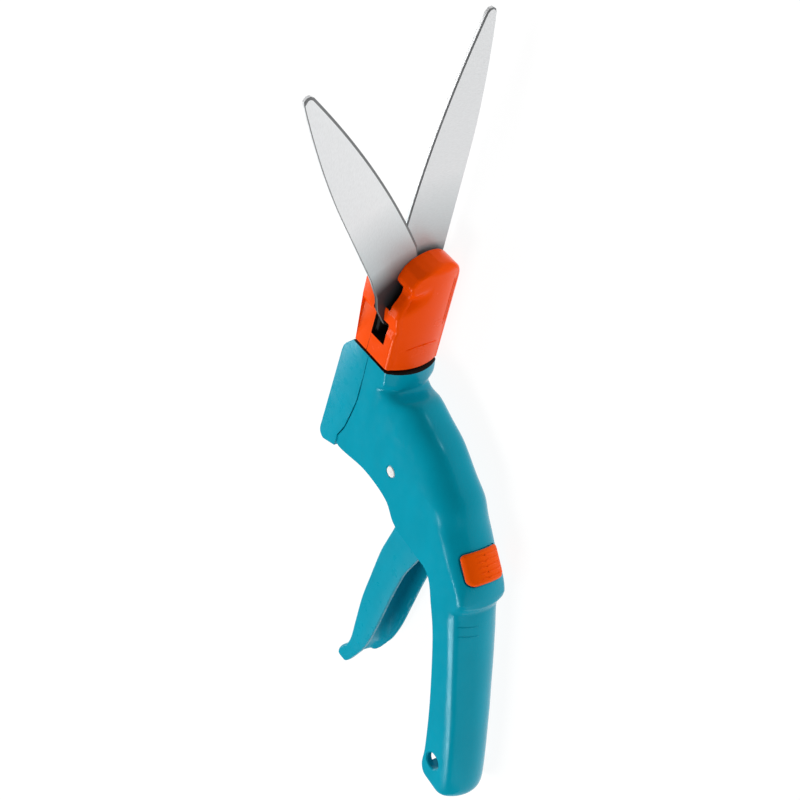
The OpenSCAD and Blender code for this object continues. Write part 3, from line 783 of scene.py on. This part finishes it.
def build_blade(name, node, material, body, root, place, top, edge_w, pin=None):
    """Flat blade with a ground strip along its cutting side, a bolt hole and a drive pin hole."""
    cut, spine = leaf()
    outline = cut + spine + root
    count = len(outline)
    inner = []
    for i, p in enumerate(outline):
        a, b = Vector(outline[i - 1]), Vector(outline[(i + 1) % count])
        along = (b - a).normalized()
        inward = Vector((along.y, -along.x))
        ground = edge_w if i < len(cut) else 0.2
        inner.append(Vector(p) + inward * ground)
    levels = [(outline, top + BLADE_T), (outline, top + EDGE_DROP), (inner, top)]
    solid = loft([[place(u, v, y) for u, v in ring] for ring, y in levels])
    bolt_hole = [(0, BOLT_HOLE_R), (6, BOLT_HOLE_R)]
    solid = boolean(solid, lathe(at(PIVOT_X, -3, PIVOT_Z), (0, 1, 0), bolt_hole))
    if pin:
        pin_hole = [(0, PIN_HOLE_R), (5, PIN_HOLE_R)]
        solid = boolean(solid, lathe(at(*pin), (0, 1, 0), pin_hole))

    def ground_face(centre, normal):
        return 0.3 < abs(normal.y) < 0.97

    finish_mesh(solid, name, material, body, [node], "edge", ground_face)


def fixed_place(u, v, y):
    return at(PIVOT_X + u, y, PIVOT_Z + v)


def moving_place(u, v, y):
    x = u * math.cos(OPEN) + v * math.sin(OPEN)
    z = u * math.sin(OPEN) - v * math.cos(OPEN)
    return at(PIVOT_X + x, y, PIVOT_Z + z)


def arc(centre, radius, start, end, steps):
    turns = (math.radians(start + (end - start) * k / steps) for k in range(steps + 1))
    return [(centre[0] + radius * math.cos(a), centre[1] + radius * math.sin(a)) for a in turns]


fixed_root = [(30, -8), (8, -7.5), (-2, -6.6), (-3.8, -3), (-3.8, 6), (6, 10.5), (20, 11),
              (30, 13)]
build_blade("fixed_blade_skin", "fixed_blade", "fixed", "head", fixed_root, fixed_place,
            FIXED_TOP, 0.6)
# hub round the pivot, and a lobe that carries the drive pin
lobe = (DRIVE_ARM * math.sin(DRIVE_SWING - OPEN), DRIVE_ARM * math.cos(DRIVE_SWING - OPEN))
moving_root = ([(27, -9), (20, -11), (11, -11), (5, -8.5)] + arc((0, 0), 6.2, 270, 160, 18)
               + arc(lobe, 2.4, 200, 60, 14) + [(8, 6.4), (18, 8.6), (30, 12.4)])
drive_pin_at = (PIVOT_X + DRIVE_ARM * math.sin(DRIVE_SWING), -4,
                PIVOT_Z - DRIVE_ARM * math.cos(DRIVE_SWING))
build_blade("moving_blade_skin", "moving_blade", "moving", "moving_blade_set", moving_root,
            moving_place, MOVING_TOP, 1.0, drive_pin_at)

# ---- copies of CAD solids with rounded edges, and the CAD solids that stay ----

refined("lever_pivot_pin", "rivet", "handle", 0.5)
# the cover's faces towards the head take the black painted shade
refined("front_cover", "cover", "handle", 0.7, "inside", faces_head)
# the lower shell's inner faces take the black painted shade
refined("lower_shell", "lower", "head", 0.6, "inside",
        lambda c, normal: c.y < 3.6 and normal.y < 0.5)

CARRIED = {
    "cover_screws": "hardware", "neck_bush": "bush", "detent_ball": "pin",
    "detent_spring": "spring", "lever_spring": "spring", "link_pin": "pin",
    "push_rod": "drive", "swivel_tube": "drive", "retaining_clip": "spring",
    "shell_screws": "hardware", "pivot_bolt": "hardware", "pivot_nut": "hardware",
    "spring_washer": "spring", "slide_driver": "drive", "drive_pin": "pin",
    "lock_bolt": "drive",
}
for node, material in CARRIED.items():
    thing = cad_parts[node]
    thing.data.materials.clear()
    thing.data.materials.append(MATERIALS[material])

# ---- floor, light and camera ----

FLOOR_SIZE = 24.0
bm = bmesh.new()
bmesh.ops.create_grid(bm, x_segments=2, y_segments=2, size=FLOOR_SIZE / 2)
floor_mesh = bpy.data.meshes.new("floor")
bm.to_mesh(floor_mesh)
bm.free()
floor = bpy.data.objects.new("floor", floor_mesh)
floor.location.z = cad_box[0].z - 0.0002
bpy.context.scene.collection.objects.link(floor)
floor_material, floor_tree, floor_shader = new_material("floor_white")
floor_shader.inputs["Base Color"].default_value = (0.07, 0.07, 0.07, 1)
floor_shader.inputs["Roughness"].default_value = 0.8
floor_shader.inputs["Emission Color"].default_value = (1, 1, 1, 1)
floor_shader.inputs["Emission Strength"].default_value = 0.93
floor_mesh.materials.append(floor_material)

world = bpy.data.worlds.new("studio")
bpy.context.scene.world = world
world.use_nodes = True
background = world.node_tree.nodes["Background"]
background.inputs["Color"].default_value = (1, 1, 1, 1)
background.inputs["Strength"].default_value = 0.13


def area_light(name, direction, distance, size, power):
    """Rectangular light that faces the object from a direction and a distance."""
    data = bpy.data.lights.new(name, "AREA")
    data.shape = "RECTANGLE"
    data.size, data.size_y = size
    data.energy = power
    lamp = bpy.data.objects.new(name, data)
    away = Vector(direction).normalized()
    turn = away.to_track_quat("Z", "Y").to_matrix().to_4x4()
    lamp.matrix_world = Matrix.Translation(away * distance) @ turn
    bpy.context.scene.collection.objects.link(lamp)


area_light("key", (-0.25, 0.8, 0.55), 1.4, (0.9, 0.7), 13)
area_light("side", (-0.3, -0.9, 0.3), 1.4, (1.2, 1.0), 4.3)
area_light("edge", (-0.6, 0.02, 0.78), 1.3, (0.6, 0.3), 10)
area_light("sheen", (0.93, -0.3, 0.06), 1.3, (0.3, 0.05), 2.2)

# the photograph's viewpoint: the picture's right, and the way back to the camera
camera_data = bpy.data.cameras.new("camera")
camera_data.lens = 89.7
camera_data.sensor_width = 36
camera_data.clip_end = 60
camera = bpy.data.objects.new("camera", camera_data)
bpy.context.scene.collection.objects.link(camera)
right = Vector((0.2026, -0.57026, -0.79608)).normalized()
back = Vector((0.63473, -0.54258, 0.55021))
back = (back - right * back.dot(right)).normalized()
pose = Matrix((right, back.cross(right), back)).transposed().to_4x4()
pose.translation = Vector((0.49678, -0.40285, 0.45791))
camera.matrix_world = pose
bpy.context.scene.camera = camera
bpy.context.scene.view_settings.view_transform = "Standard"
